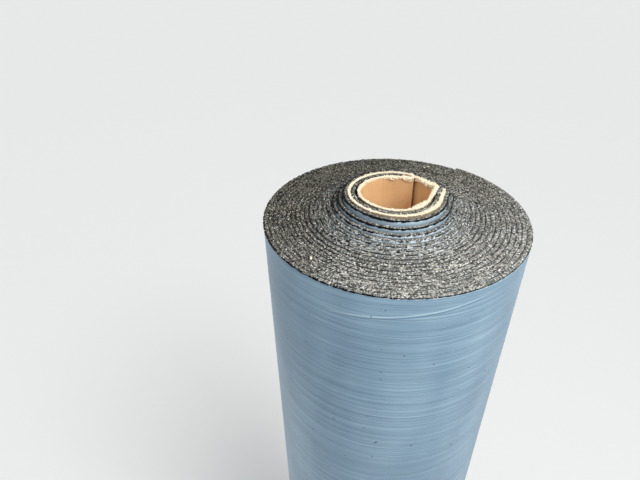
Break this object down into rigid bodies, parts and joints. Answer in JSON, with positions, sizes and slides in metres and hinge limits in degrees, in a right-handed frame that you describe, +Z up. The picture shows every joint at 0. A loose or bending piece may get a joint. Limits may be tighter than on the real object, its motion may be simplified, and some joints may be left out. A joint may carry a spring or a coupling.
{
  "type": "roll of roofing felt",
  "caption": "Upright roll of mineral-surfaced roofing felt, its turns slipped up into a shallow cone round an overlapped board core, with light blue film on the outside.",
  "frame": {"origin": "where the roll's axis meets the floor that it stands on", "axes": "+Z up the roll's axis, +X to the right and +Y away from someone who faces the roll from the picture's side"},
  "size_m": [0.241, 0.239, 1.0212],
  "materials": {
    "mineral_felt": "black bitumen with grey mineral granules",
    "core_board": "plain brown board",
    "torch_film": "thin light blue film, finely wrinkled"
  },
  "bodies": {
    "root": {"felt_roll": "mineral_felt", "core_board": "core_board"}
  },
  "joints": []
}
